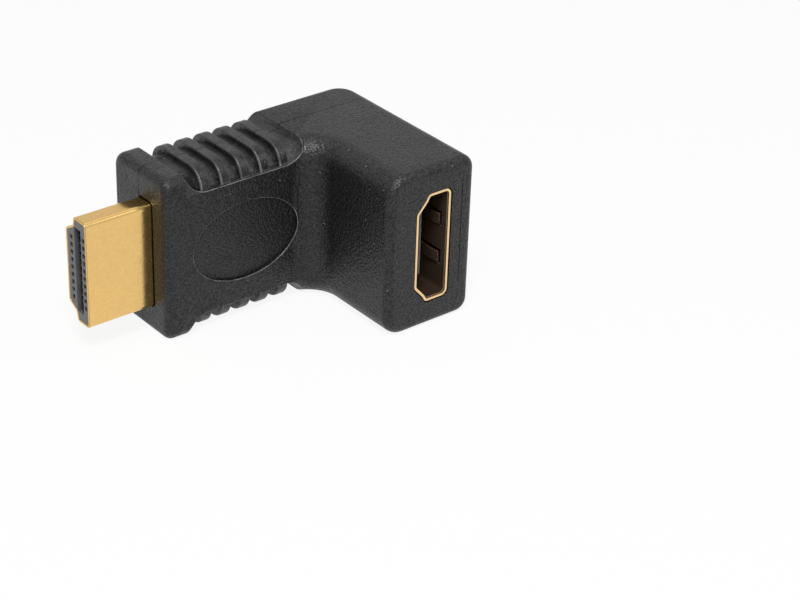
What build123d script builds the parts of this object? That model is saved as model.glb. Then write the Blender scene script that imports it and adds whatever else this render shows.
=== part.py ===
from build123d import *
import os

# Right angle digital video adapter: a moulded elbow with a plug on one arm and
# a socket on the other. All sizes are in millimetres.
#
# Working frame: X runs along the plug arm, away from the plug's tip, with x = 0
# at the moulded end face. The plug's axis is y = 0 and the socket opens
# towards -Y. Z runs across the width of both connectors, with z = 0 midway.

# Moulded elbow. Its inner rims are soft at the elbow and tighter at the plug.
body_width = 21.4
elbow_reach = 34.6
socket_reach = 19.8
plug_axis_to_front = 5.2
plug_axis_to_back = 6.1
socket_arm_depth = 13.0
outer_elbow_radius = 3.0
inner_elbow_radius = 3.4
back_rim_radius = 1.8
elbow_rim_radius = 2.7
plug_rim_radius = 1.4
end_rim_radius = 1.1

# Finger grips, a pocket round both edges of the plug arm
grip_start = 2.9
grip_end = 20.3
grip_wrap = 2.55
grip_corner_radius = 3.1
grip_side_depth = 0.75
grip_face_depth = 0.6
grip_floor_radius = 3.2

# Ribs in the grips, placed by the edge that faces the plug
rib_count = 5
rib_start = 5.25
rib_pitch = 2.83
rib_width = 1.28
rib_side_depth = 0.05
rib_face_depth = 0.35
rib_corner_radius = 2.6
rib_edge_bevel = 0.12

# Oval recess on the face between the arms
oval_length = 15.2
oval_height = 10.3
oval_centre = 11.4
oval_depth = 0.4

# Plug, with its wide face towards the socket's side
plug_reach = 9.0
plug_width = 13.9
plug_depth = 4.45
plug_full_width_depth = 2.6
plug_step_half_width = 5.75
plug_step_rise = 0.25
plug_narrow_half_width = 4.85
plug_wide_corner_radius = 0.6
plug_step_radius = 0.4
plug_narrow_corner_radius = 0.6
plug_tuck = 5.5
plug_seam_gap = 0.06
plug_block_recess = 0.2

# Socket, with its wide side towards the outer face of the elbow and its axis
# a little past the middle of its arm
socket_offset = 0.3
socket_width = 14.0
socket_depth = 4.55
socket_full_width_depth = 2.93
socket_step_half_width = 6.4
socket_step_rise = 0.3
socket_narrow_half_width = 4.92
socket_wide_corner_radius = 0.55
socket_step_radius = 0.35
socket_narrow_corner_radius = 0.5
socket_rim_recess = 0.12
socket_tuck = 11.0
socket_block_floor = 8.2

# Sheet metal of both shells
shell_wall = 0.3
relief_gap = 0.14
relief_depth = 1.2

# Spring fingers cut from the socket shell's two long walls
finger_offset = 2.6
finger_width = 1.4
finger_length = 5.0
finger_tip_setback = 1.4
finger_slit = 0.28
finger_stock = 0.24
finger_crest_setback = 1.5
finger_crest_bow = 0.45
finger_tip_bow = 0.25

# Solder legs of the socket shell
leg_width = 1.6
leg_offset = 4.6
leg_through = 0.5
leg_slot_clearance = 0.1

# Tongue of the socket and the slot for it in the plug
tongue_offset = 0.3
tongue_thickness = 1.2
tongue_half_width = 5.3
tongue_setback = 3.0
tongue_tip_bevel = 0.25
slot_clearance = 0.1
slot_end_clearance = 0.3
slot_floor = 1.5

# Contacts, in two staggered rows
contact_count = 19
contact_step = 0.5
contact_width = 0.4
contact_stock = 0.2
cell_width = 0.6
cell_depth = 0.55
narrow_row_web = 0.45
wide_row_web = 0.2
cell_front_web = 0.5
cell_window_length = 4.6
cell_length = 8.6
contact_crest_setback = 1.9
contact_tip_setback = 0.75
contact_crest_reach = 0.22
plug_tail_length = 2.6
plug_tail_bend = 0.9
blade_stock = 0.15
blade_proud = 0.05
blade_setback = 0.45
socket_foot_length = 1.3

# Circuit board between the two connectors
board_thickness = 1.0
board_half_width = 7.4
board_front_gap = 0.4
board_end_margin = 3.3

# Carrier block under the socket's base
base_half_depth = 1.9
base_half_width = 6.6
base_standoff = 0.4

# Inner moulding round the board and the backs of the connectors
core_front = 3.0
core_half_width = 8.4
core_half_depth = 3.3
core_outer_margin = 1.7
core_inner_margin = 2.6
core_socket_cover = 4.0

# Cutting shapes reach this far past the faces that they open
overrun = 1.0

# Places worked out from the sizes above
half_width = body_width / 2
socket_arm_inner = elbow_reach - socket_arm_depth
socket_axis = elbow_reach - socket_arm_depth / 2 + socket_offset
socket_mouth = -socket_reach + socket_rim_recess
socket_shell_back = socket_mouth + socket_tuck
tongue_centre = socket_axis + tongue_offset
tongue_front = socket_mouth + tongue_setback
slot_centre = -tongue_offset
slot_half = tongue_thickness / 2 + slot_clearance
board_centre = slot_centre
board_top = board_centre + board_thickness / 2
board_bottom = board_centre - board_thickness / 2
board_front = plug_tuck + board_front_gap
board_end = elbow_reach - board_end_margin
core_end = elbow_reach - core_outer_margin
core_inner = socket_arm_inner + core_inner_margin
core_socket_front = socket_shell_back - core_socket_cover


def block(x_low, x_high, y_low, y_high, z_low, z_high):
    """Box between two opposite corners."""
    size = (x_high - x_low, y_high - y_low, z_high - z_low)
    middle = ((x_low + x_high) / 2, (y_low + y_high) / 2, (z_low + z_high) / 2)
    return Pos(*middle) * Box(*size)


def plug_plane(x):
    """Section plane of the plug arm: sketch X is the width, sketch Y is y."""
    return Plane(origin=(x, 0, 0), x_dir=(0, 0, 1), z_dir=(-1, 0, 0))


def socket_plane(y):
    """Section plane of the socket arm: sketch X is the width, sketch -Y is x."""
    return Plane(origin=(socket_axis, y, 0), x_dir=(0, 0, 1), z_dir=(0, -1, 0))


def connector_outline(width, depth, full_depth, step_half, step_rise, narrow_half, radii):
    """Keyed outline: a full-width part, a step on each side, then a narrow part."""
    wide_corner, step_corner, narrow_corner = radii
    wide_face = -depth / 2
    shelf = wide_face + full_depth
    right = [
        (width / 2, wide_face),
        (width / 2, shelf),
        (step_half, shelf + step_rise),
        (narrow_half, depth / 2),
    ]
    left = [(-u, v) for u, v in reversed(right)]
    half_radii = [wide_corner, step_corner, step_corner, narrow_corner]
    rounded = half_radii + half_radii[::-1]
    return make_face(FilletPolyline(*right, *left, radius=rounded, close=True))


def plug_section(grow=0.0):
    """Outline of the plug shell's outside, grown or shrunk evenly."""
    outline = connector_outline(
        plug_width,
        plug_depth,
        plug_full_width_depth,
        plug_step_half_width,
        plug_step_rise,
        plug_narrow_half_width,
        (plug_wide_corner_radius, plug_step_radius, plug_narrow_corner_radius),
    )
    return offset(outline, amount=grow) if grow else outline


def socket_section(grow=0.0):
    """Outline of the socket's opening, grown or shrunk evenly."""
    outline = connector_outline(
        socket_width,
        socket_depth,
        socket_full_width_depth,
        socket_step_half_width,
        socket_step_rise,
        socket_narrow_half_width,
        (socket_wide_corner_radius, socket_step_radius, socket_narrow_corner_radius),
    )
    return offset(outline, amount=grow) if grow else outline


def plug_prism(grow, x_low, x_high):
    """Plug section carried along X between two planes."""
    return extrude(plug_plane(x_high) * plug_section(grow), amount=x_high - x_low)


def socket_prism(grow, y_low, y_high):
    """Socket section carried along Y between two planes."""
    return extrude(socket_plane(y_high) * socket_section(grow), amount=y_high - y_low)


def strip(points, thickness):
    """Bent strip seen from its edge: a path with half the stock on each side."""
    path = [Vector(*point) for point in points]
    runs = [(b - a).normalized() for a, b in zip(path, path[1:])]
    sides = []
    for index, point in enumerate(path):
        before = runs[max(index - 1, 0)]
        after = runs[min(index, len(runs) - 1)]
        normal_before = Vector(-before.Y, before.X)
        normal_after = Vector(-after.Y, after.X)
        mitre = (normal_before + normal_after).normalized()
        reach = thickness / 2 / mitre.dot(normal_before)
        sides.append((point + mitre * reach, point - mitre * reach))
    loop = [side[0] for side in sides] + [side[1] for side in reversed(sides)]
    return make_face(Polyline(*loop, close=True))


def stamped(points, thickness, z_centre):
    """Strip given its width along Z."""
    return Pos(0, 0, z_centre) * extrude(strip(points, thickness), contact_width / 2, both=True)


def contact_height(number):
    """Place of a contact across the width, the first at the top."""
    return ((contact_count + 1) / 2 - number) * contact_step


def wide_row(number):
    """Odd contacts lie on the wide side, even ones on the narrow side."""
    return number % 2 == 1


def row_web(number):
    """Wall between the slot and the cells of a contact's row."""
    return wide_row_web if wide_row(number) else narrow_row_web


def elbow_blank(inner_rim_radius):
    """L-shaped body with every outer edge rounded."""
    inner_corner = (socket_arm_inner, -plug_axis_to_front)
    outer_corner = (elbow_reach, plug_axis_to_back)
    outline = Polyline(
        (0, -plug_axis_to_front),
        inner_corner,
        (socket_arm_inner, -socket_reach),
        (elbow_reach, -socket_reach),
        outer_corner,
        (0, plug_axis_to_back),
        close=True,
    )
    body = extrude(make_face(outline), half_width, both=True)

    def upright(corner):
        return body.edges().filter_by(Axis.Z).sort_by_distance((*corner, 0))[0]

    body = fillet(upright(inner_corner), inner_elbow_radius)
    body = fillet(upright(outer_corner), outer_elbow_radius)

    def rims(back):
        """Edges of both flat sides along the back or the inside, without the two ends."""
        chosen = []
        for edge in body.faces().filter_by(Axis.Z).edges():
            middle = edge.center()
            at_end = min(middle.X, middle.Y + socket_reach) < end_rim_radius
            on_back = middle.X > socket_axis or middle.Y > 0
            if on_back == back and not at_end:
                chosen.append(edge)
        return chosen

    body = fillet(rims(back=False), inner_rim_radius)
    body = fillet(rims(back=True), back_rim_radius)
    ends = [body.faces().sort_by(Axis.X)[0], body.faces().sort_by(Axis.Y)[0]]
    return fillet([edge for face in ends for edge in face.edges()], end_rim_radius)


def grip_section(side_depth, face_depth, radius):
    """Rounded section of the plug arm, sunk below its sides and faces."""
    low = -plug_axis_to_front + face_depth
    high = plug_axis_to_back - face_depth
    section = Rectangle(body_width - 2 * side_depth, high - low)
    section = Pos(0, (low + high) / 2) * section
    return fillet(section.vertices(), radius)


def grip_pocket():
    """Both grip pockets: a bite from each side that leaves the sunk section."""
    wrap_edge = half_width - grip_wrap
    outside = half_width + grip_corner_radius
    outline = [
        (grip_start, outside),
        (grip_start, wrap_edge),
        (grip_end, wrap_edge),
        (grip_end, outside),
    ]
    corners = (grip_corner_radius, grip_corner_radius)
    edge = FilletPolyline(*outline, radius=corners)
    closing = Line(outline[-1], outline[0])
    arm_depth = plug_axis_to_front + plug_axis_to_back
    bite = extrude(Plane.XZ * make_face([*edge.edges(), closing]), arm_depth, both=True)
    section = grip_section(grip_side_depth, grip_face_depth, grip_floor_radius)
    floor = extrude(
        plug_plane(grip_end + overrun) * section,
        grip_end - grip_start + 2 * overrun,
    )
    return (bite + mirror(bite, Plane.XY)) - floor


def grip_rib(start):
    """One raised band round the plug arm, bevelled on the edge that faces the plug."""
    section = grip_section(rib_side_depth, rib_face_depth, rib_corner_radius)
    band = extrude(plug_plane(start + rib_width) * section, rib_width)
    return chamfer(band.faces().sort_by(Axis.X)[0].edges(), rib_edge_bevel)


def oval_recess():
    """Shallow oval cut in the face between the arms."""
    floor = -plug_axis_to_front + oval_depth
    ellipse = Ellipse(oval_length / 2, oval_height / 2)
    plane = Plane(origin=(oval_centre, floor, 0), x_dir=(1, 0, 0), z_dir=(0, -1, 0))
    return extrude(plane * ellipse, oval_depth + overrun)


def core_blank():
    """Outside of the inner moulding, a smaller elbow within the body."""
    width = (-core_half_width, core_half_width)
    arm = block(core_front, core_end, -core_half_depth, core_half_depth, *width)
    riser = block(core_inner, core_end, core_socket_front, core_half_depth, *width)
    return arm + riser


def make_overmould():
    """Moulded elbow: rounded L, grips, oval, and the space for all it encloses."""
    grip_middle = Plane.YZ.offset((grip_start + grip_end) / 2)
    body = split(elbow_blank(plug_rim_radius), grip_middle, keep=Keep.BOTTOM)
    body += split(elbow_blank(elbow_rim_radius), grip_middle, keep=Keep.TOP)
    body -= grip_pocket()
    for index in range(rib_count):
        body += grip_rib(rib_start + index * rib_pitch)
    body -= oval_recess()
    body -= core_blank()
    body -= plug_prism(0, -overrun, core_front)
    body -= plug_prism(relief_gap, -overrun, relief_depth)
    mouth = -socket_reach - overrun
    body -= socket_prism(shell_wall, mouth, core_socket_front)
    body -= socket_prism(shell_wall + relief_gap, mouth, -socket_reach + relief_depth)
    return body


def make_plug_shell():
    """Folded sheet sleeve of the plug, with its butt seam on the narrow face."""
    sleeve = plug_prism(0, -plug_reach, plug_tuck) - plug_prism(-shell_wall, -plug_reach, plug_tuck)
    narrow_face = plug_depth / 2
    seam = block(
        -plug_reach,
        plug_tuck,
        narrow_face - 2 * shell_wall,
        narrow_face + shell_wall,
        -plug_seam_gap / 2,
        plug_seam_gap / 2,
    )
    return sleeve - seam


def plug_contact_path(number):
    """Path of a plug contact in its row: crest in the slot, shank, bend, tail."""
    side = -1 if wide_row(number) else 1
    front = -plug_reach + plug_block_recess
    near = slot_half + row_web(number)
    crest = slot_half - contact_crest_reach + contact_stock / 2
    shank = near + cell_depth - contact_stock / 2
    pad = board_thickness / 2 + contact_stock / 2
    path = [
        (front + contact_tip_setback, near + contact_stock),
        (front + contact_crest_setback, crest),
        (front + cell_window_length - contact_stock, near + contact_stock),
        (front + cell_length, shank),
        (plug_tuck, shank),
        (plug_tuck + plug_tail_bend, pad),
        (plug_tuck + plug_tail_bend + plug_tail_length, pad),
    ]
    return [(x, slot_centre + side * y) for x, y in path]


def make_plug_contact(number):
    """Formed spring contact of the plug."""
    return stamped(plug_contact_path(number), contact_stock, contact_height(number))


def plug_cell(number):
    """Open cell of one plug contact: a front hole and a window to the slot."""
    side = -1 if wide_row(number) else 1
    front = -plug_reach + plug_block_recess
    z = contact_height(number)
    cell_near = slot_half + row_web(number)

    def part(x_low, x_high, near, far):
        y_low, y_high = sorted((slot_centre + side * near, slot_centre + side * far))
        return block(x_low, x_high, y_low, y_high, z - cell_width / 2, z + cell_width / 2)

    hole = part(front, front + cell_length, cell_near, cell_near + cell_depth)
    window = part(front + cell_front_web, front + cell_window_length, 0, cell_near)
    return hole + window


def make_plug_insulator(contacts):
    """Moulded block of the plug, with its slot and a cell for each contact."""
    front = -plug_reach + plug_block_recess
    body = plug_prism(-shell_wall, front, plug_tuck)
    slot_half_width = tongue_half_width + slot_end_clearance
    body -= block(
        front,
        plug_tuck - slot_floor,
        slot_centre - slot_half,
        slot_centre + slot_half,
        -slot_half_width,
        slot_half_width,
    )
    for number in range(1, contact_count + 1):
        body -= plug_cell(number)
    for contact in contacts:
        body -= contact
    return body


def spring_finger(side, z):
    """Cut-out and bowed finger on one long wall: side 1 is the wide wall."""
    wall_outer = socket_axis + side * (socket_depth / 2 + shell_wall)
    wall_inner = wall_outer - side * shell_wall
    tip = socket_mouth + finger_tip_setback
    root = tip + finger_length
    x_low, x_high = sorted((wall_outer + side * shell_wall, wall_inner - side * shell_wall / 2))
    half_gap = finger_width / 2 + finger_slit
    window = block(x_low, x_high, tip - finger_slit, root, z - half_gap, z + half_gap)
    middle = (wall_outer + wall_inner) / 2
    path = [
        (middle, root),
        (middle - side * finger_crest_bow, tip + finger_crest_setback),
        (middle - side * finger_tip_bow, tip),
    ]
    spring = Pos(0, 0, z) * extrude(strip(path, finger_stock), finger_width / 2, both=True)
    return window, spring


def shell_leg(side, z):
    """Solder leg that runs from the socket shell's back edge through the board."""
    outer = socket_axis + side * (socket_depth / 2 + shell_wall)
    x_low, x_high = sorted((outer, outer - side * shell_wall))
    return block(
        x_low,
        x_high,
        socket_shell_back - shell_wall,
        board_top + leg_through,
        z - leg_width / 2,
        z + leg_width / 2,
    )


def make_socket_shell():
    """Folded sheet sleeve of the socket, with spring fingers and solder legs."""
    body = socket_prism(shell_wall, socket_mouth, socket_shell_back)
    body -= socket_prism(0, socket_mouth, socket_shell_back)
    for side in (-1, 1):
        for z in (-finger_offset, finger_offset):
            window, spring = spring_finger(side, z)
            body -= window
            body += spring
    for side in (-1, 1):
        for z in (-leg_offset, leg_offset):
            body += shell_leg(side, z)
    return body


def socket_contact_path(number):
    """Path of a socket contact: blade on the tongue, run to the board, foot."""
    side = 1 if wide_row(number) else -1
    x = tongue_centre + side * (tongue_thickness / 2 + blade_proud - blade_stock / 2)
    foot = board_bottom - blade_stock / 2
    return [(x, tongue_front + blade_setback), (x, foot), (x + side * socket_foot_length, foot)]


def make_socket_contact(number):
    """Stamped blade contact of the socket."""
    return stamped(socket_contact_path(number), blade_stock, contact_height(number))


def make_socket_insulator(contacts):
    """Moulded tongue on its block, with the carrier that stands over the board."""
    tongue = block(
        tongue_centre - tongue_thickness / 2,
        tongue_centre + tongue_thickness / 2,
        tongue_front,
        socket_shell_back,
        -tongue_half_width,
        tongue_half_width,
    )
    tip_edges = tongue.faces().sort_by(Axis.Y)[0].edges().filter_by(Axis.Z)
    body = chamfer(tip_edges, tongue_tip_bevel)
    body += socket_prism(0, socket_mouth + socket_block_floor, socket_shell_back)
    body += block(
        tongue_centre - base_half_depth,
        tongue_centre + base_half_depth,
        socket_shell_back,
        board_bottom - base_standoff,
        -base_half_width,
        base_half_width,
    )
    for contact in contacts:
        body -= contact
    return body


def make_circuit_board():
    """Small board in the plug's plane, with slots for the shell's legs."""
    board = block(board_front, board_end, board_bottom, board_top, -board_half_width, board_half_width)
    slot_width = shell_wall + 2 * leg_slot_clearance
    slot_length = leg_width + 2 * leg_slot_clearance
    slot = Box(slot_width, board_thickness, slot_length)
    for side in (-1, 1):
        x = socket_axis + side * (socket_depth / 2 + shell_wall / 2)
        for z in (-leg_offset, leg_offset):
            board -= Pos(x, board_centre, z) * slot
    return board


def make_inner_mould(enclosed):
    """Inner moulding: the core less the connectors' backs and all it encloses."""
    core = core_blank()
    core -= plug_prism(0, 0, plug_tuck)
    core -= socket_prism(shell_wall, socket_mouth, socket_shell_back)
    for piece in enclosed:
        core -= piece
    return core


def make_parts():
    """All pieces in the working frame, by name."""
    numbers = range(1, contact_count + 1)
    plug_contacts = {f"plug_contact_{n:02d}": make_plug_contact(n) for n in numbers}
    socket_contacts = {f"socket_contact_{n:02d}": make_socket_contact(n) for n in numbers}
    parts = {
        "overmould": make_overmould(),
        "plug_shell": make_plug_shell(),
        "plug_insulator": make_plug_insulator(plug_contacts.values()),
        "socket_shell": make_socket_shell(),
        "socket_insulator": make_socket_insulator(socket_contacts.values()),
        "circuit_board": make_circuit_board(),
    }
    parts.update(plug_contacts)
    parts.update(socket_contacts)
    enclosed = [piece for name, piece in parts.items() if name != "overmould"]
    parts["inner_mould"] = make_inner_mould(enclosed)
    return parts


def seat():
    """Moves the working frame so that the origin is the base's middle."""
    x_middle = (elbow_reach - plug_reach) / 2
    y_middle = (plug_axis_to_back - socket_reach) / 2
    return Pos(-x_middle, -y_middle, half_width)


def main():
    """Writes one STEP file for each piece."""
    os.makedirs("parts", exist_ok=True)
    for name, piece in make_parts().items():
        export_step(seat() * piece, f"parts/{name}.step")


main()
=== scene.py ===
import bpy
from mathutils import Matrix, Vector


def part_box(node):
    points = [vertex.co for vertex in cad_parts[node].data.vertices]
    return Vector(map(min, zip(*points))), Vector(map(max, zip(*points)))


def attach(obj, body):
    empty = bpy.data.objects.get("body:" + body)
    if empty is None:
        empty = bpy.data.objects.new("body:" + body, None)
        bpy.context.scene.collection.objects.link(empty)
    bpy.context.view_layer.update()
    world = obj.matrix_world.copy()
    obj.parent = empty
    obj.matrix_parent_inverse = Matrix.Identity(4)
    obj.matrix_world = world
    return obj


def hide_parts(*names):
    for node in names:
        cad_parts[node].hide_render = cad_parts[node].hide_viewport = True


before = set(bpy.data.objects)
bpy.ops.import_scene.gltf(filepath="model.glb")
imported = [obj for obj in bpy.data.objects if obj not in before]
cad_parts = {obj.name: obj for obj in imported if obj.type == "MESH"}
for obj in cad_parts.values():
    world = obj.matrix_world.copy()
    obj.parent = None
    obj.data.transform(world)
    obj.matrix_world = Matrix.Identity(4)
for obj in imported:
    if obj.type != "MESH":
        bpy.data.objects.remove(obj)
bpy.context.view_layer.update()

from math import radians

import bmesh
import bpy
import numpy as np
from bpy.props import FloatProperty, FloatVectorProperty, PointerProperty
from bpy.types import Operator, Panel, PropertyGroup
from mathutils import Matrix, Vector

bl_info = {
    "name": "Right angle digital video adapter",
    "version": (1, 0, 0),
    "blender": (4, 5, 0),
    "location": "3D View > Sidebar > Adapter",
    "description": "Dresses the moulded elbow adapter and its plug and socket",
    "category": "Object",
}

MM = 0.001
BODY = "root"
CONTACT_COUNT = 19
EDGE_MARK = "rounded_edge"

# Corners of the pieces' boxes, in metres
elbow_low, elbow_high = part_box("overmould")
socket_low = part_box("socket_shell")[0]
block_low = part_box("plug_insulator")[0]

# Copies of the solids' meshes: what counts as a double, and as flat
MERGE_DISTANCE = 0.0005 * MM
FLAT_ANGLE = radians(0.2)

# Edges sharper than this stay sharp, and the outer ones among them are rounded
SHARP_ANGLE = radians(28)

# Rounding of the small pieces' edges, in millimetres
BLOCK_EDGE = 0.02
TONGUE_EDGE = 0.03
CONTACT_EDGE = 0.03

# The plug's block stands this much further forward than its solid, and its front is this deep
BLOCK_DRAW = 0.15 * MM
FRONT_DEPTH = 0.02 * MM

# Painted shade in the slot behind the block's front: axis, where it starts and ends, and the share of
# colour left
PLUG_PAINTED_SHADE = ("X", block_low.x + 0.05 * MM, block_low.x + 0.7 * MM, 0.12)

# Edges this near the end faces belong to the openings
END_FACE = elbow_low.x
END_MARGIN = 0.3 * MM

# Hairlines of the mould: their reach to each side, the share of it that is full, and their strength
HAIRLINE_REACH = 0.09 * MM
HAIRLINE_CORE = 0.3
HAIRLINE_SHARE = 0.9

# Places of the hairlines: the parting plane on Y, and the seam of the socket's face on X and Z
PARTING_PLANE = 7.29 * MM
SEAM_PLANE = 19.85 * MM
SEAM_DEPTH = 0.2 * MM
SEAM_FOOT = 4.5 * MM
SEAM_HEAD = 18.6 * MM

# Reach of the ribbed grips along the plug arm, and from its middle plane to their near edge
GRIP_START = -9.9 * MM
GRIP_END = 7.4 * MM
GRIP_HALF_HEIGHT = 8.2 * MM

# Wear and painted highlight on the edges: where they start and end to fade, what is left behind, and their
# patches
EDGE_WEAR_AND_HIGHLIGHT_FADE = (1.6 * MM, 4.0 * MM)
EDGE_WEAR_AND_HIGHLIGHT_BEHIND = 0.2
EDGE_PATCH_SIZE = 1.3 * MM
PATCH_BAND = (0.38, 0.6)
PATCH_STRENGTH = (0.4, 1.0)

# Bands that spread() stretches
UNIT = (0.0, 1.0)
MIDDLE = (0.3, 0.7)

# Moulding. A noise is given by its size, detail and roughness, where they aren't the usual ones
GRAIN_DETAIL = 2.0
GRAIN_ROUGHNESS = 0.6
LUMP_BAND = (0.38, 0.62)
PIT_SPACING = 1.3
PIT_BAND = (0.0, 0.6)
PIT_SHARE = 0.6
# The grain's low places are darkened as painted shade, and its lumps lightened as painted light
PIT_PAINTED_SHADE = 0.6
LUMP_PAINTED_LIGHT = 1.5
LINE_SHADE = 0.2
MOULDING_CLOUD = (3.2 * MM, 3.0)
ROUGHNESS_STEP = 0.04
NICKS = (0.34 * MM, 1.0)
NICK_BAND = (0.775, 0.80)
SCUFFS = (0.9 * MM, 4.0, 0.65)
SCUFF_BAND = (0.35, 0.65)
SCUFF_GLOSS = (0.75, 1.25)

# Gold plate: its noises, the last one drawn out along the rollers' path, and what they change
PLATE_CLOUD = (1.6 * MM, 3.0)
PLATE_MOTTLE = (0.34 * MM, 3.0, 0.7)
PLATE_SPECKS = (0.2 * MM, 1.0)
PLATE_WAVES = (0.7 * MM, 2.0)
ROLLER_LINES = (0.12 * MM, 2.0, 0.5, (20.0, 20.0, 1.0))
PLATE_TONES = (0.93, 1.05)
SPECK_BAND = (0.74, 0.79)
SPECK_SHADE = 0.4
RIM_SPECK_SHADE = 0.6
RUBBED_SHARE = 0.5
PLATE_SMOOTHEST = 0.8
PLATE_ROUGHEST = 1.25
ROLLER_DEPTH = 0.0006 * MM
MOTTLE_DEPTH = 0.003 * MM
WAVE_DEPTH = 0.006 * MM

# Painted shade behind the socket's mouth: between these depths the gold turns to a dark colour that does
# not mirror
SOCKET_PAINTED_SHADE_BAND = (socket_low.y + 0.1 * MM, socket_low.y + 0.4 * MM)

# Plain plastic: flow pattern and matt grain, then the roughness of each piece
FLOW = (1.1 * MM, 3.0)
FLOW_DARK = 0.85
FLOW_LIGHT = 1.15
FLOW_ROUGHNESS = 0.06
MATT_SIZE = 0.08 * MM
MATT_DEPTH = 0.004 * MM
BLOCK_ROUGHNESS = 0.45
TONGUE_ROUGHNESS = 0.5
BOARD_ROUGHNESS = 0.35
INNER_ROUGHNESS = 0.55

# Contacts: wear of their gold flash, and the stamped grain below
FLASH = (0.4 * MM, 2.0)
FLASH_BAND = (0.35, 0.65)
COPPER_TINT = (1.0, 0.7, 0.6)
CONTACT_ROUGHNESS = (0.24, 0.36)
STAMPED_SIZE = 0.1 * MM
STAMPED_DEPTH = 0.002 * MM


# Node helpers

def new_material(name):
    """Empty node material with its output, its principled shader and its object coordinates."""
    material = bpy.data.materials.new(name)
    material.use_nodes = True
    nodes = material.node_tree.nodes
    nodes.clear()
    output = nodes.new("ShaderNodeOutputMaterial")
    shader = nodes.new("ShaderNodeBsdfPrincipled")
    place = nodes.new("ShaderNodeTexCoord")
    material.node_tree.links.new(shader.outputs["BSDF"], output.inputs["Surface"])
    return material, shader, place.outputs["Object"]


def link(material, source, target):
    """Joins two sockets."""
    material.node_tree.links.new(source, target)


def noise(material, place, size, detail=2.0, roughness=0.5, stretch=(1.0, 1.0, 1.0)):
    """Noise whose lumps are about size across, in metres, drawn out along each axis by stretch."""
    nodes = material.node_tree.nodes
    mapping = nodes.new("ShaderNodeMapping")
    mapping.inputs["Scale"].default_value = [1.0 / s for s in stretch]
    texture = nodes.new("ShaderNodeTexNoise")
    texture.inputs["Scale"].default_value = 1.0 / size
    texture.inputs["Detail"].default_value = detail
    texture.inputs["Roughness"].default_value = roughness
    link(material, place, mapping.inputs["Vector"])
    link(material, mapping.outputs["Vector"], texture.inputs["Vector"])
    return texture.outputs["Fac"]


def cells(material, place, size):
    """Distance to the nearest of scattered points about size apart."""
    texture = material.node_tree.nodes.new("ShaderNodeTexVoronoi")
    texture.inputs["Scale"].default_value = 1.0 / size
    link(material, place, texture.inputs["Vector"])
    return texture.outputs["Distance"]


def spread(material, source, band, result=UNIT):
    """Stretches a band of values onto another, held at its ends."""
    node = material.node_tree.nodes.new("ShaderNodeMapRange")
    node.inputs["From Min"].default_value = band[0]
    node.inputs["From Max"].default_value = band[1]
    node.inputs["To Min"].default_value = result[0]
    node.inputs["To Max"].default_value = result[1]
    link(material, source, node.inputs["Value"])
    return node.outputs["Result"]


def blend_colours(material, amount, first, second):
    """Colour that goes from the first to the second by an amount from 0 to 1."""
    node = material.node_tree.nodes.new("ShaderNodeMix")
    node.data_type = "RGBA"
    for name, colour in (("A", first), ("B", second)):
        socket = [s for s in node.inputs if s.name == name and s.type == "RGBA"][0]
        if isinstance(colour, bpy.types.NodeSocket):
            link(material, colour, socket)
        else:
            socket.default_value = (*colour, 1.0)
    link(material, amount, node.inputs["Factor"])
    return [s for s in node.outputs if s.type == "RGBA"][0]


def bump(material, height, depth, under=None):
    """Normal of a height from 0 to 1 that stands depth proud, in metres."""
    node = material.node_tree.nodes.new("ShaderNodeBump")
    node.inputs["Strength"].default_value = 1.0
    node.inputs["Distance"].default_value = depth
    link(material, height, node.inputs["Height"])
    if under is not None:
        link(material, under, node.inputs["Normal"])
    return node.outputs["Normal"]


def scaled(colour, factor):
    """Colour made lighter or darker."""
    return tuple(channel * factor for channel in colour)


def toned(material, mask, colour, dark, light):
    """Colour that goes from a darker to a lighter tone over the middle of a mask."""
    amount = spread(material, mask, MIDDLE)
    return blend_colours(material, amount, scaled(colour, dark), scaled(colour, light))


def calculate(material, operation, *values):
    """Result of a sum on sockets or plain numbers."""
    node = material.node_tree.nodes.new("ShaderNodeMath")
    node.operation = operation
    for socket, value in zip(node.inputs, values):
        if isinstance(value, bpy.types.NodeSocket):
            link(material, value, socket)
        else:
            socket.default_value = value
    return node.outputs["Value"]


def product(material, first, second):
    """Product of two masks."""
    return calculate(material, "MULTIPLY", first, second)


def larger(material, first, second):
    """Larger of two masks."""
    return calculate(material, "MAXIMUM", first, second)


def reverse(material, mask):
    """Mask turned round."""
    return calculate(material, "SUBTRACT", 1.0, mask)


def flattened(material, height, keep):
    """Height from 0 to 1 drawn towards its middle, where only a share of it is kept."""
    middle = 0.5
    offset = product(material, calculate(material, "SUBTRACT", height, middle), keep)
    return calculate(material, "ADD", offset, middle)


def attribute(material, name):
    """Value that the mesh holds under a name."""
    node = material.node_tree.nodes.new("ShaderNodeAttribute")
    node.attribute_name = name
    return node.outputs["Fac"]


def axes_of(material, place):
    """X, Y and Z of a place."""
    node = material.node_tree.nodes.new("ShaderNodeSeparateXYZ")
    link(material, place, node.inputs["Vector"])
    return node.outputs


def near_plane(material, axis, at):
    """Mask that is 1 close to the plane where an axis has this value, and fades to 0 off it."""
    distance = calculate(material, "ABSOLUTE", calculate(material, "SUBTRACT", axis, at))
    return spread(material, distance, (HAIRLINE_CORE * HAIRLINE_REACH, HAIRLINE_REACH), (1.0, 0.0))


def between(material, axis, low, high):
    """Mask that is 1 where an axis lies between two values."""
    above = calculate(material, "GREATER_THAN", axis, low)
    return product(material, above, calculate(material, "LESS_THAN", axis, high))


# Finishes

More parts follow.
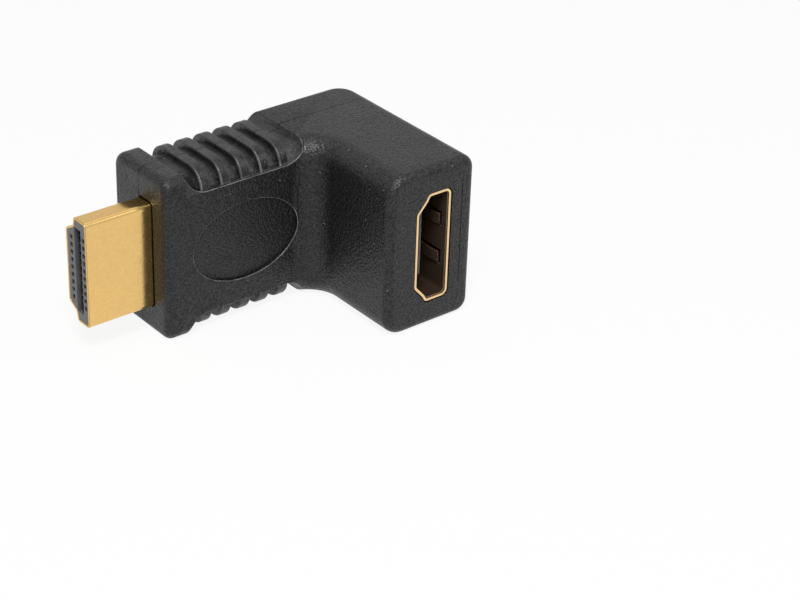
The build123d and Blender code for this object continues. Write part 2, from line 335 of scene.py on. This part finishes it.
def moulding_finish(settings):
    """Black moulded plastic: eroded grain with dull pits, its parting line, and small light nicks.

    The ribbed grips and the rounded edges are worn: they keep less of the grain and are glossier.
    The grain has painted shade in its low places and painted light on its lumps.
    The rounded edges are painted lighter, partly as wear and partly as a painted highlight.
    """
    material, shader, place = new_material("black_moulding")
    colour = tuple(settings.colour)
    grain_size = settings.grain_size * MM
    edge = worn_and_highlit_edge(material, place)
    worn = larger(material, grip_mask(material, place), edge)
    lines = moulding_lines(material, place)
    keep = spread(material, worn, UNIT, (1.0, settings.worn_grain))
    fine = flattened(material, noise(material, place, grain_size, GRAIN_DETAIL, GRAIN_ROUGHNESS), keep)
    lumps = spread(material, fine, LUMP_BAND)
    pits = spread(material, cells(material, place, grain_size * PIT_SPACING), PIT_BAND)
    nicks = spread(material, noise(material, place, *NICKS), NICK_BAND)
    # Painted shade in the grain's low places and painted light on its lumps
    painted = blend_colours(material, lumps, scaled(colour, PIT_PAINTED_SHADE), scaled(colour, LUMP_PAINTED_LIGHT))
    # Painted highlight and wear: the rounded edges are painted lighter
    painted = blend_colours(material, edge, painted, settings.edge_wear_and_highlight)
    painted = blend_colours(material, nicks, painted, settings.nick_colour)
    painted = blend_colours(material, lines, painted, scaled(colour, LINE_SHADE))
    link(material, painted, shader.inputs["Base Color"])
    scuffs = flattened(material, noise(material, place, *SCUFFS), worn)
    shine = spread(material, lumps, UNIT, (settings.pit_gloss, settings.lump_gloss))
    shine = product(material, shine, spread(material, scuffs, SCUFF_BAND, SCUFF_GLOSS))
    shine = product(material, shine, spread(material, worn, UNIT, (1.0, settings.worn_gloss)))
    shine = larger(material, shine, product(material, edge, settings.edge_gloss))
    link(material, product(material, shine, reverse(material, lines)), shader.inputs["Specular IOR Level"])
    roughness = (settings.roughness - ROUGHNESS_STEP, settings.roughness + ROUGHNESS_STEP)
    rough = spread(material, noise(material, place, *MOULDING_CLOUD), MIDDLE, roughness)
    polish = spread(material, worn, UNIT, (1.0, settings.worn_roughness))
    link(material, product(material, rough, polish), shader.inputs["Roughness"])
    normal = bump(material, fine, settings.grain_depth * MM)
    normal = bump(material, product(material, pits, keep), settings.grain_depth * PIT_SHARE * MM, normal)
    link(material, normal, shader.inputs["Normal"])
    return material


def worn_and_highlit_edge(material, place):
    """Mask of the rounded edges that fingers reach: all but those round the plug and the socket.

    The edges are painted lighter, partly as wear and partly as a painted highlight.
    The mask is patchy, and it fades on the stretches that lie further back.
    """
    axes = axes_of(material, place)
    reached = calculate(material, "GREATER_THAN", axes["X"], END_FACE + END_MARGIN)
    behind_mouth = calculate(material, "GREATER_THAN", axes["Y"], elbow_low.y + END_MARGIN)
    edge = product(material, attribute(material, EDGE_MARK), product(material, reached, behind_mouth))
    fade = spread(material, axes["Y"], EDGE_WEAR_AND_HIGHLIGHT_FADE, (1.0, EDGE_WEAR_AND_HIGHLIGHT_BEHIND))
    patches = spread(material, noise(material, place, EDGE_PATCH_SIZE), PATCH_BAND, PATCH_STRENGTH)
    return product(material, edge, product(material, fade, patches))


def grip_mask(material, place):
    """Mask of the two ribbed grips, where handling has worn the grain."""
    axes = axes_of(material, place)
    middle_plane = elbow_high.z / 2
    from_middle = calculate(
        material, "ABSOLUTE", calculate(material, "SUBTRACT", axes["Z"], middle_plane)
    )
    side = calculate(material, "GREATER_THAN", from_middle, GRIP_HALF_HEIGHT)
    return product(material, side, between(material, axes["X"], GRIP_START, GRIP_END))


def moulding_lines(material, place):
    """Mask of the hairlines that the mould leaves: the parting line and the socket face's seam."""
    axes = axes_of(material, place)
    parting = near_plane(material, axes["Y"], PARTING_PLANE)
    seam = near_plane(material, axes["X"], SEAM_PLANE)
    seam = product(material, seam, calculate(material, "LESS_THAN", axes["Y"], elbow_low.y + SEAM_DEPTH))
    seam = product(material, seam, between(material, axes["Z"], SEAM_FOOT, SEAM_HEAD))
    return product(material, larger(material, parting, seam), HAIRLINE_SHARE)


def gold_finish(settings, name):
    """Thin gold plate over rolled sheet, with roller lines, pinholes and marks.

    On the socket's sheet, behind the mouth, the gold turns to painted shade of dark bronze that does not
    mirror, with painted highlights on its edges.
    """
    material, shader, place = new_material(name)
    shader.inputs["Metallic"].default_value = 1.0
    colour = tuple(settings.plate_colour)
    edge = attribute(material, EDGE_MARK)
    mottle = noise(material, place, *PLATE_MOTTLE)
    specks = spread(material, noise(material, place, *PLATE_SPECKS), SPECK_BAND)
    if name == "socket_plate":
        # Painted shade: behind the socket's mouth the colour turns dark and the metal stops mirroring
        inside = spread(material, axes_of(material, place)["Y"], SOCKET_PAINTED_SHADE_BAND)
        rim = blend_colours(
            material, specks, settings.rim_colour, scaled(settings.rim_colour, RIM_SPECK_SHADE)
        )
        # Painted highlights on the edges within the socket's painted shade
        shaded = blend_colours(material, edge, settings.socket_painted_shade, settings.socket_painted_edge_highlight)
        painted = blend_colours(material, inside, rim, shaded)
        link(material, reverse(material, inside), shader.inputs["Metallic"])
    else:
        painted = toned(material, mottle, colour, *PLATE_TONES)
        painted = blend_colours(material, specks, painted, scaled(colour, SPECK_SHADE))
        rubbing = product(material, edge, RUBBED_SHARE)
        painted = blend_colours(material, rubbing, painted, settings.rubbed_colour)
    link(material, painted, shader.inputs["Base Color"])
    roughness = (settings.plate_roughness * PLATE_SMOOTHEST, settings.plate_roughness * PLATE_ROUGHEST)
    rough = spread(material, noise(material, place, *PLATE_CLOUD), MIDDLE, roughness)
    link(material, rough, shader.inputs["Roughness"])
    normal = bump(material, noise(material, place, *ROLLER_LINES), ROLLER_DEPTH)
    normal = bump(material, mottle, MOTTLE_DEPTH, normal)
    normal = bump(material, noise(material, place, *PLATE_WAVES), WAVE_DEPTH, normal)
    link(material, normal, shader.inputs["Normal"])
    return material


def plastic_finish(name, colour, roughness, shade=None):
    """Moulded plastic with a faint flow pattern and a fine matt grain.

    shade, when given, is painted shade: it names an axis, two places on it and the share of the colour
    that is left past the second.
    """
    material, shader, place = new_material(name)
    flow = noise(material, place, *FLOW)
    painted = toned(material, flow, colour, FLOW_DARK, FLOW_LIGHT)
    # Painted shade: the colour darkens along the axis
    if shade is not None:
        axis, start, end, share = shade
        depth = spread(material, axes_of(material, place)[axis], (start, end))
        painted = blend_colours(material, depth, painted, scaled(colour, share))
    link(material, painted, shader.inputs["Base Color"])
    rough = spread(material, flow, MIDDLE, (roughness - FLOW_ROUGHNESS, roughness + FLOW_ROUGHNESS))
    link(material, rough, shader.inputs["Roughness"])
    normal = bump(material, noise(material, place, MATT_SIZE), MATT_DEPTH)
    link(material, normal, shader.inputs["Normal"])
    return material


def contact_finish(settings):
    """Stamped copper alloy with a thin gold flash that has worn towards copper."""
    material, shader, place = new_material("contact_metal")
    shader.inputs["Metallic"].default_value = 1.0
    colour = tuple(settings.contact_colour)
    copper = tuple(channel * tint for channel, tint in zip(colour, COPPER_TINT))
    wear = spread(material, noise(material, place, *FLASH), FLASH_BAND)
    link(material, blend_colours(material, wear, colour, copper), shader.inputs["Base Color"])
    link(material, spread(material, wear, UNIT, CONTACT_ROUGHNESS), shader.inputs["Roughness"])
    normal = bump(material, noise(material, place, STAMPED_SIZE), STAMPED_DEPTH)
    link(material, normal, shader.inputs["Normal"])
    return material


# Mesh helpers

def merged_copy(node, name):
    """Piece with the node's own surface, its doubles merged and its curved stretches smooth."""
    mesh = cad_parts[node].data.copy()
    mesh.name = name
    mesh.materials.clear()
    work = bmesh.new()
    work.from_mesh(mesh)
    bmesh.ops.remove_doubles(work, verts=work.verts, dist=MERGE_DISTANCE)
    bmesh.ops.dissolve_limit(work, angle_limit=FLAT_ANGLE, verts=work.verts, edges=work.edges)
    work.to_mesh(mesh)
    work.free()
    mesh.shade_smooth()
    mesh.set_sharp_from_angle(angle=SHARP_ANGLE)
    piece = bpy.data.objects.new(name, mesh)
    bpy.context.scene.collection.objects.link(piece)
    return piece


def weigh_outer_edges(mesh):
    """Gives a bevel weight of 1 to the sharp edges that stand out, and of 0 to the others."""
    work = bmesh.new()
    work.from_mesh(mesh)
    weight = work.edges.layers.float.new("bevel_weight_edge")
    for edge in work.edges:
        stands_out = edge.is_manifold and edge.is_convex and edge.calc_face_angle() > SHARP_ANGLE
        edge[weight] = float(stands_out)
    work.to_mesh(mesh)
    work.free()


def soften(piece, width, segments=2, clamp=True):
    """Rounds the sharp outer edges of a piece by a small width, in millimetres, and marks them.

    The rounded faces take the second of two empty material slots, and that becomes their mark.
    """
    slots = piece.data.materials
    slots.append(None)
    slots.append(None)
    weigh_outer_edges(piece.data)
    bevel = piece.modifiers.new("Softened edges", "BEVEL")
    bevel.width = width * MM
    bevel.segments = segments
    bevel.limit_method = "WEIGHT"
    bevel.use_clamp_overlap = clamp
    bevel.harden_normals = True
    bevel.material = len(slots) - 1
    rounded = bpy.data.meshes.new_from_object(
        piece.evaluated_get(bpy.context.evaluated_depsgraph_get())
    )
    piece.modifiers.clear()
    piece.data = rounded
    on_edge = np.zeros(len(rounded.polygons), dtype=np.int32)
    rounded.polygons.foreach_get("material_index", on_edge)
    mark = rounded.attributes.new(EDGE_MARK, "FLOAT", "FACE")
    mark.data.foreach_set("value", on_edge.astype(np.float32))
    rounded.polygons.foreach_set("material_index", np.zeros_like(on_edge))
    rounded.materials.clear()


def draw_forward(piece, distance):
    """Moves the front face of a piece towards -X: x' = x - distance where x is the lowest."""
    vertices = piece.data.vertices
    places = np.empty(3 * len(vertices), dtype=np.float32)
    vertices.foreach_get("co", places)
    places = places.reshape(-1, 3)
    front = places[:, 0] < places[:, 0].min() + FRONT_DEPTH
    places[front, 0] -= distance
    vertices.foreach_set("co", places.ravel())
    piece.data.update()


def finish_piece(piece, material, slot_name, *nodes):
    """Gives a piece its finish, lets it ride on the body and stand for its nodes."""
    piece.data.materials.append(material)
    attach(piece, BODY)
    if nodes:
        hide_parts(*nodes)


def dress_node(node, material):
    """Gives a node that keeps its own mesh its finish."""
    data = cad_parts[node].data
    data.materials.clear()
    data.materials.append(material)


# Settings

class MouldingSettings(PropertyGroup):
    """Sizes and colour of the black moulding's finish."""
    colour: FloatVectorProperty(
        name="Colour", description="Colour of the black plastic", subtype="COLOR",
        size=3, min=0.0, max=1.0, default=(0.0065, 0.0065, 0.0067),
    )
    nick_colour: FloatVectorProperty(
        name="Nick colour", description="Colour of the small light nicks", subtype="COLOR",
        size=3, min=0.0, max=1.0, default=(0.3, 0.3, 0.3),
    )
    roughness: FloatProperty(
        name="Roughness", description="Mean roughness of the plastic",
        subtype="FACTOR", min=0.0, max=1.0, default=0.4,
    )
    pit_gloss: FloatProperty(
        name="Pit gloss", description="How much the pits of the grain mirror",
        subtype="FACTOR", min=0.0, max=1.0, default=0.3,
    )
    lump_gloss: FloatProperty(
        name="Lump gloss", description="How much the lumps of the grain mirror",
        subtype="FACTOR", min=0.0, max=1.0, default=0.56,
    )
    grain_size: FloatProperty(
        name="Grain size", description="Width of one lump of the moulded grain, in millimetres",
        min=0.05, max=2.0, default=0.26,
    )
    grain_depth: FloatProperty(
        name="Grain depth", description="Height of the moulded grain, in millimetres",
        min=0.0, max=0.2, default=0.075,
    )
    # Lighter colour of the rounded edges: partly wear, partly painted highlight
    edge_wear_and_highlight: FloatVectorProperty(
        name="Edge colour", description="Colour of the rubbed edges", subtype="COLOR",
        size=3, min=0.0, max=1.0, default=(0.17, 0.17, 0.172),
    )
    edge_gloss: FloatProperty(
        name="Edge gloss", description="How much the rubbed edges mirror",
        subtype="FACTOR", min=0.0, max=1.0, default=0.9,
    )
    worn_grain: FloatProperty(
        name="Worn grain", description="How much of the grain the ribbed grips and edges keep",
        subtype="FACTOR", min=0.0, max=1.0, default=0.5,
    )
    worn_roughness: FloatProperty(
        name="Worn roughness", description="Roughness of the grips and edges, as a share of the rest",
        subtype="FACTOR", min=0.0, max=1.0, default=0.92,
    )
    worn_gloss: FloatProperty(
        name="Worn gloss", description="How much the grips and edges mirror, as a share of the rest",
        subtype="FACTOR", min=0.0, max=3.0, default=1.3,
    )
    edge_width: FloatProperty(
        name="Edge softness", description="Rounding of the moulding's small edges, in millimetres",
        min=0.0, max=0.3, default=0.07,
    )


class MetalSettings(PropertyGroup):
    """Colours and roughness of the plated sheet and the contacts."""
    plate_colour: FloatVectorProperty(
        name="Plate colour", description="Colour of the gold plate", subtype="COLOR",
        size=3, min=0.0, max=1.0, default=(0.81, 0.53, 0.195),
    )
    plate_roughness: FloatProperty(
        name="Plate roughness", description="Mean roughness of the gold plate",
        subtype="FACTOR", min=0.0, max=1.0, default=0.18,
    )
    rubbed_colour: FloatVectorProperty(
        name="Rubbed plate", description="Colour of the plug sheet's rubbed edges", subtype="COLOR",
        size=3, min=0.0, max=1.0, default=(0.34, 0.16, 0.06),
    )
    rim_colour: FloatVectorProperty(
        name="Socket rim", description="Colour of the plate on the socket's rim",
        subtype="COLOR", size=3, min=0.0, max=1.0, default=(0.87, 0.62, 0.34),
    )
    # Painted shade inside the socket
    socket_painted_shade: FloatVectorProperty(
        name="Inside the socket", description="Colour of the bare sheet behind the socket's mouth",
        subtype="COLOR", size=3, min=0.0, max=1.0, default=(0.04, 0.026, 0.018),
    )
    # Painted highlights on the edges inside the socket
    socket_painted_edge_highlight: FloatVectorProperty(
        name="Edges in the socket", description="Colour of the cut edges behind the socket's mouth",
        subtype="COLOR", size=3, min=0.0, max=1.0, default=(0.95, 0.42, 0.19),
    )
    contact_colour: FloatVectorProperty(
        name="Contact colour", description="Colour of the contacts", subtype="COLOR",
        size=3, min=0.0, max=1.0, default=(0.84, 0.47, 0.24),
    )
    sheet_edge: FloatProperty(
        name="Sheet edge", description="Rounding of the plug sheet's cut edges, in millimetres",
        min=0.0, max=0.12, default=0.09,
    )
    formed_edge: FloatProperty(
        name="Formed edge", description="Rounding of the socket sheet's edges, in millimetres",
        min=0.0, max=0.1, default=0.075,
    )


class PlasticSettings(PropertyGroup):
    """Colours of the moulded plastic inside the connectors."""
    plug_colour: FloatVectorProperty(
        name="Plug block", description="Colour of the block inside the plug", subtype="COLOR",
        size=3, min=0.0, max=1.0, default=(0.12, 0.118, 0.12),
    )
    tongue_colour: FloatVectorProperty(
        name="Socket tongue", description="Colour of the tongue inside the socket", subtype="COLOR",
        size=3, min=0.0, max=1.0, default=(0.17, 0.165, 0.16),
    )
    board_colour: FloatVectorProperty(
        name="Board", description="Colour of the small circuit board", subtype="COLOR",
        size=3, min=0.0, max=1.0, default=(0.02, 0.09, 0.04),
    )
    inner_colour: FloatVectorProperty(
        name="Inner moulding", description="Colour of the first moulding", subtype="COLOR",
        size=3, min=0.0, max=1.0, default=(0.32, 0.3, 0.27),
    )


class StageSettings(PropertyGroup):
    """Floor, background and lamps."""
    floor_colour: FloatVectorProperty(
        name="Floor", description="Colour of the floor", subtype="COLOR",
        size=3, min=0.0, max=1.0, default=(0.86, 0.86, 0.86),
    )
    background_share: FloatProperty(
        name="Background share", description="How much of the floor is seen as plain white",
        subtype="FACTOR", min=0.0, max=1.0, default=0.9,
    )
    room_strength: FloatProperty(
        name="Room light", description="Strength of the light from all round",
        subtype="FACTOR", min=0.0, max=2.0, default=0.32,
    )
    key_power: FloatProperty(
        name="Key lamp", description="Power of the lamp over the camera's left shoulder",
        unit="POWER", min=0.0, default=1.7,
    )
    side_power: FloatProperty(
        name="Side lamp", description="Power of the lamp at the right front",
        unit="POWER", min=0.0, default=0.12,
    )
    key_size: FloatProperty(
        name="Lamp size", description="Side of the key and side lamps",
        unit="LENGTH", min=0.01, default=0.13,
    )
    top_size: FloatProperty(
        name="Top lamp size", description="Side of the lamp overhead",
        unit="LENGTH", min=0.01, default=0.3,
    )
    top_power: FloatProperty(
        name="Top lamp", description="Power of the soft lamp overhead",
        unit="POWER", min=0.0, default=0.15,
    )


# Operators

class ADAPTER_OT_elbow(Operator):
    """Make the black moulded elbow"""
    bl_idname = "adapter.elbow"
    bl_label = "Moulded elbow"

    def execute(self, context):
        settings = context.scene.adapter_moulding
        piece = merged_copy("overmould", "moulded_elbow")
        soften(piece, settings.edge_width, clamp=False)
        finish_piece(piece, moulding_finish(settings), "black_moulding", "overmould")
        return {"FINISHED"}


class ADAPTER_OT_plug_shell(Operator):
    """Make the gold-plated sleeve of the plug"""
    bl_idname = "adapter.plug_shell"
    bl_label = "Plug shell"

    def execute(self, context):
        settings = context.scene.adapter_metal
        piece = merged_copy("plug_shell", "plug_sleeve")
        soften(piece, settings.sheet_edge)
        finish_piece(piece, shared_finish("gold_plate"), "gold_plate", "plug_shell")
        return {"FINISHED"}


class ADAPTER_OT_socket_shell(Operator):
    """Make the gold-plated sleeve of the socket with its spring fingers"""
    bl_idname = "adapter.socket_shell"
    bl_label = "Socket shell"

    def execute(self, context):
        settings = context.scene.adapter_metal
        piece = merged_copy("socket_shell", "socket_sleeve")
        soften(piece, settings.formed_edge)
        finish_piece(piece, shared_finish("socket_plate"), "gold_plate", "socket_shell")
        return {"FINISHED"}


class ADAPTER_OT_insulators(Operator):
    """Make the moulded blocks inside the plug and the socket"""
    bl_idname = "adapter.insulators"
    bl_label = "Moulded blocks"

    def execute(self, context):
        plug = merged_copy("plug_insulator", "plug_block")
        draw_forward(plug, BLOCK_DRAW)
        soften(plug, BLOCK_EDGE, segments=1)
        finish_piece(plug, shared_finish("grey_plastic"), "grey_plastic", "plug_insulator")
        tongue = merged_copy("socket_insulator", "socket_tongue")
        soften(tongue, TONGUE_EDGE, segments=1)
        finish_piece(tongue, shared_finish("dark_plastic"), "dark_plastic", "socket_insulator")
        return {"FINISHED"}


class ADAPTER_OT_contacts(Operator):
    """Make the two rows of contacts at each end"""
    bl_idname = "adapter.contacts"
    bl_label = "Contacts"

    def execute(self, context):
        material = shared_finish("contact_metal")
        for end in ("plug", "socket"):
            for number in range(1, CONTACT_COUNT + 1):
                name = f"{end}_contact_{number:02d}"
                piece = merged_copy(name, f"{end}_spring_{number:02d}")
                soften(piece, CONTACT_EDGE)
                finish_piece(piece, material, "contact_metal", name)
        return {"FINISHED"}


class ADAPTER_OT_inner_parts(Operator):
    """Dress the circuit board and the inner moulding"""
    bl_idname = "adapter.inner_parts"
    bl_label = "Board and inner moulding"

    def execute(self, context):
        dress_node("circuit_board", shared_finish("board_laminate"))
        dress_node("inner_mould", shared_finish("inner_plastic"))
        return {"FINISHED"}


class ADAPTER_OT_stage(Operator):
    """Make the floor, the background, the lamps and the camera"""
    bl_idname = "adapter.stage"
    bl_label = "Stage"

    def execute(self, context):
        settings = context.scene.adapter_stage
        make_floor(settings)
        make_room(settings)
        make_lamps(settings)
        make_camera()
        return {"FINISHED"}


class ADAPTER_PT_sidebar(Panel):
    """Lists the adapter's pieces and settings"""
    bl_idname = "ADAPTER_PT_sidebar"
    bl_label = "Digital video adapter"
    bl_space_type = "VIEW_3D"
    bl_region_type = "UI"
    bl_category = "Adapter"

    def draw(self, context):
        for operator in PIECE_OPERATORS:
            self.layout.operator(operator.bl_idname)
        for holder in SETTINGS:
            box = self.layout.box()
            group = getattr(context.scene, holder)
            for name in type(group).__annotations__:
                box.prop(group, name)


# Shared finishes

made_finishes = {}


def shared_finish(name):
    """Finish by its name, made the first time it is asked for."""
    if name in made_finishes:
        return made_finishes[name]
    scene = bpy.context.scene
    plastic = scene.adapter_plastic
    makers = {
        "gold_plate": lambda: gold_finish(scene.adapter_metal, name),
        "socket_plate": lambda: gold_finish(scene.adapter_metal, name),
        "contact_metal": lambda: contact_finish(scene.adapter_metal),
        "grey_plastic": lambda: plastic_finish(
            name, tuple(plastic.plug_colour), BLOCK_ROUGHNESS, PLUG_PAINTED_SHADE
        ),
        "dark_plastic": lambda: plastic_finish(name, tuple(plastic.tongue_colour), TONGUE_ROUGHNESS),
        "board_laminate": lambda: plastic_finish(name, tuple(plastic.board_colour), BOARD_ROUGHNESS),
        "inner_plastic": lambda: plastic_finish(name, tuple(plastic.inner_colour), INNER_ROUGHNESS),
    }
    made_finishes[name] = makers[name]()
    return made_finishes[name]


# Stage: the camera's place and axes were fitted to the photograph, all lengths in metres

CAMERA_PLACE = (-0.13505489, -0.18761000, 0.13670926)
CAMERA_RIGHT = (0.77869470, -0.62663809, 0.03097209)
CAMERA_DOWN = (-0.29330278, -0.40722497, -0.86495162)
CAMERA_FORWARD = (0.55462424, 0.66444904, -0.50089862)
CAMERA_LENS = 98.627
SENSOR_WIDTH = 36.0
NEAR_CLIP = 0.01
FAR_CLIP = 20.0
KEY_PLACE = (-0.155, -0.197, 0.397)
SIDE_PLACE = (0.24, -0.2, 0.28)
TOP_PLACE = (0.02, 0.05, 0.42)
FLOOR_REACH = 3.0


def make_camera():
    """Camera at the photograph's place, with its axes given in the part's frame."""
    data = bpy.data.cameras.new("camera")
    data.lens = CAMERA_LENS
    data.sensor_width = SENSOR_WIDTH
    data.clip_start = NEAR_CLIP
    data.clip_end = FAR_CLIP
    camera = bpy.data.objects.new("camera", data)
    axes = Matrix((CAMERA_RIGHT, -Vector(CAMERA_DOWN), -Vector(CAMERA_FORWARD))).transposed()
    camera.matrix_world = Matrix.Translation(CAMERA_PLACE) @ axes.to_4x4()
    bpy.context.scene.collection.objects.link(camera)
    bpy.context.scene.camera = camera


def seen_ray(tree):
    """Value of 1 for rays from the camera, off gloss or through clear things, else 0."""
    path = tree.nodes.new("ShaderNodeLightPath")
    value = path.outputs["Is Camera Ray"]
    for name in ("Is Glossy Ray", "Is Transmission Ray"):
        either = tree.nodes.new("ShaderNodeMath")
        either.operation = "MAXIMUM"
        tree.links.new(value, either.inputs[0])
        tree.links.new(path.outputs[name], either.inputs[1])
        value = either.outputs[0]
    return value


def make_floor(settings):
    """Wide floor that is seen nearly white and keeps the object's shadow."""
    signs = ((-1, -1), (1, -1), (1, 1), (-1, 1))
    corners = [(x * FLOOR_REACH, y * FLOOR_REACH, 0.0) for x, y in signs]
    mesh = bpy.data.meshes.new("floor")
    mesh.from_pydata(corners, [], [(0, 1, 2, 3)])
    floor = bpy.data.objects.new("floor", mesh)
    bpy.context.scene.collection.objects.link(floor)
    material = bpy.data.materials.new("floor_paper")
    material.use_nodes = True
    tree = material.node_tree
    tree.nodes.clear()
    output = tree.nodes.new("ShaderNodeOutputMaterial")
    paper = tree.nodes.new("ShaderNodeBsdfDiffuse")
    paper.inputs["Color"].default_value = (*settings.floor_colour, 1.0)
    white = tree.nodes.new("ShaderNodeEmission")
    share = tree.nodes.new("ShaderNodeMath")
    share.operation = "MULTIPLY"
    share.inputs[1].default_value = settings.background_share
    mix = tree.nodes.new("ShaderNodeMixShader")
    tree.links.new(seen_ray(tree), share.inputs[0])
    tree.links.new(share.outputs[0], mix.inputs["Fac"])
    tree.links.new(paper.outputs[0], mix.inputs[1])
    tree.links.new(white.outputs[0], mix.inputs[2])
    tree.links.new(mix.outputs[0], output.inputs["Surface"])
    mesh.materials.append(material)


def make_room(settings):
    """White room: plain white where it is seen, and a softer light for the rest."""
    world = bpy.data.worlds.new("room")
    world.use_nodes = True
    tree = world.node_tree
    tree.nodes.clear()
    output = tree.nodes.new("ShaderNodeOutputWorld")
    room = tree.nodes.new("ShaderNodeBackground")
    strength = tree.nodes.new("ShaderNodeMapRange")
    strength.inputs["To Min"].default_value = settings.room_strength
    strength.inputs["To Max"].default_value = 1.0
    tree.links.new(seen_ray(tree), strength.inputs["Value"])
    tree.links.new(strength.outputs["Result"], room.inputs["Strength"])
    tree.links.new(room.outputs[0], output.inputs["Surface"])
    bpy.context.scene.world = world


def make_lamp(name, place, size, power):
    """Square soft lamp that faces the object's middle."""
    data = bpy.data.lights.new(name, "AREA")
    data.shape = "SQUARE"
    data.size = size
    data.energy = power
    lamp = bpy.data.objects.new(name, data)
    aim = Vector((0.0, 0.0, elbow_high.z / 2)) - Vector(place)
    lamp.matrix_world = Matrix.Translation(place) @ aim.to_track_quat("-Z", "Y").to_matrix().to_4x4()
    bpy.context.scene.collection.objects.link(lamp)


def make_lamps(settings):
    """Key lamp that the corners facing the camera catch, a weak one at the right, one overhead."""
    make_lamp("key_lamp", KEY_PLACE, settings.key_size, settings.key_power)
    make_lamp("side_lamp", SIDE_PLACE, settings.key_size, settings.side_power)
    make_lamp("top_lamp", TOP_PLACE, settings.top_size, settings.top_power)


PIECE_OPERATORS = (
    ADAPTER_OT_elbow,
    ADAPTER_OT_plug_shell,
    ADAPTER_OT_socket_shell,
    ADAPTER_OT_insulators,
    ADAPTER_OT_contacts,
    ADAPTER_OT_inner_parts,
    ADAPTER_OT_stage,
)

SETTINGS = {
    "adapter_moulding": MouldingSettings,
    "adapter_metal": MetalSettings,
    "adapter_plastic": PlasticSettings,
    "adapter_stage": StageSettings,
}

CLASSES = (*SETTINGS.values(), *PIECE_OPERATORS, ADAPTER_PT_sidebar)


def register():
    """Registers the classes and hangs the settings on the scene."""
    for cls in CLASSES:
        bpy.utils.register_class(cls)
    for name, group in SETTINGS.items():
        setattr(bpy.types.Scene, name, PointerProperty(type=group))


def unregister():
    """Takes the settings and the classes away again."""
    for name in SETTINGS:
        delattr(bpy.types.Scene, name)
    for cls in reversed(CLASSES):
        bpy.utils.unregister_class(cls)


def main():
    """Makes every piece and the stage."""
    register()
    bpy.context.scene.view_settings.view_transform = "Standard"
    bpy.ops.adapter.elbow()
    bpy.ops.adapter.plug_shell()
    bpy.ops.adapter.socket_shell()
    bpy.ops.adapter.insulators()
    bpy.ops.adapter.contacts()
    bpy.ops.adapter.inner_parts()
    bpy.ops.adapter.stage()


if __name__ == "__main__":
    main()
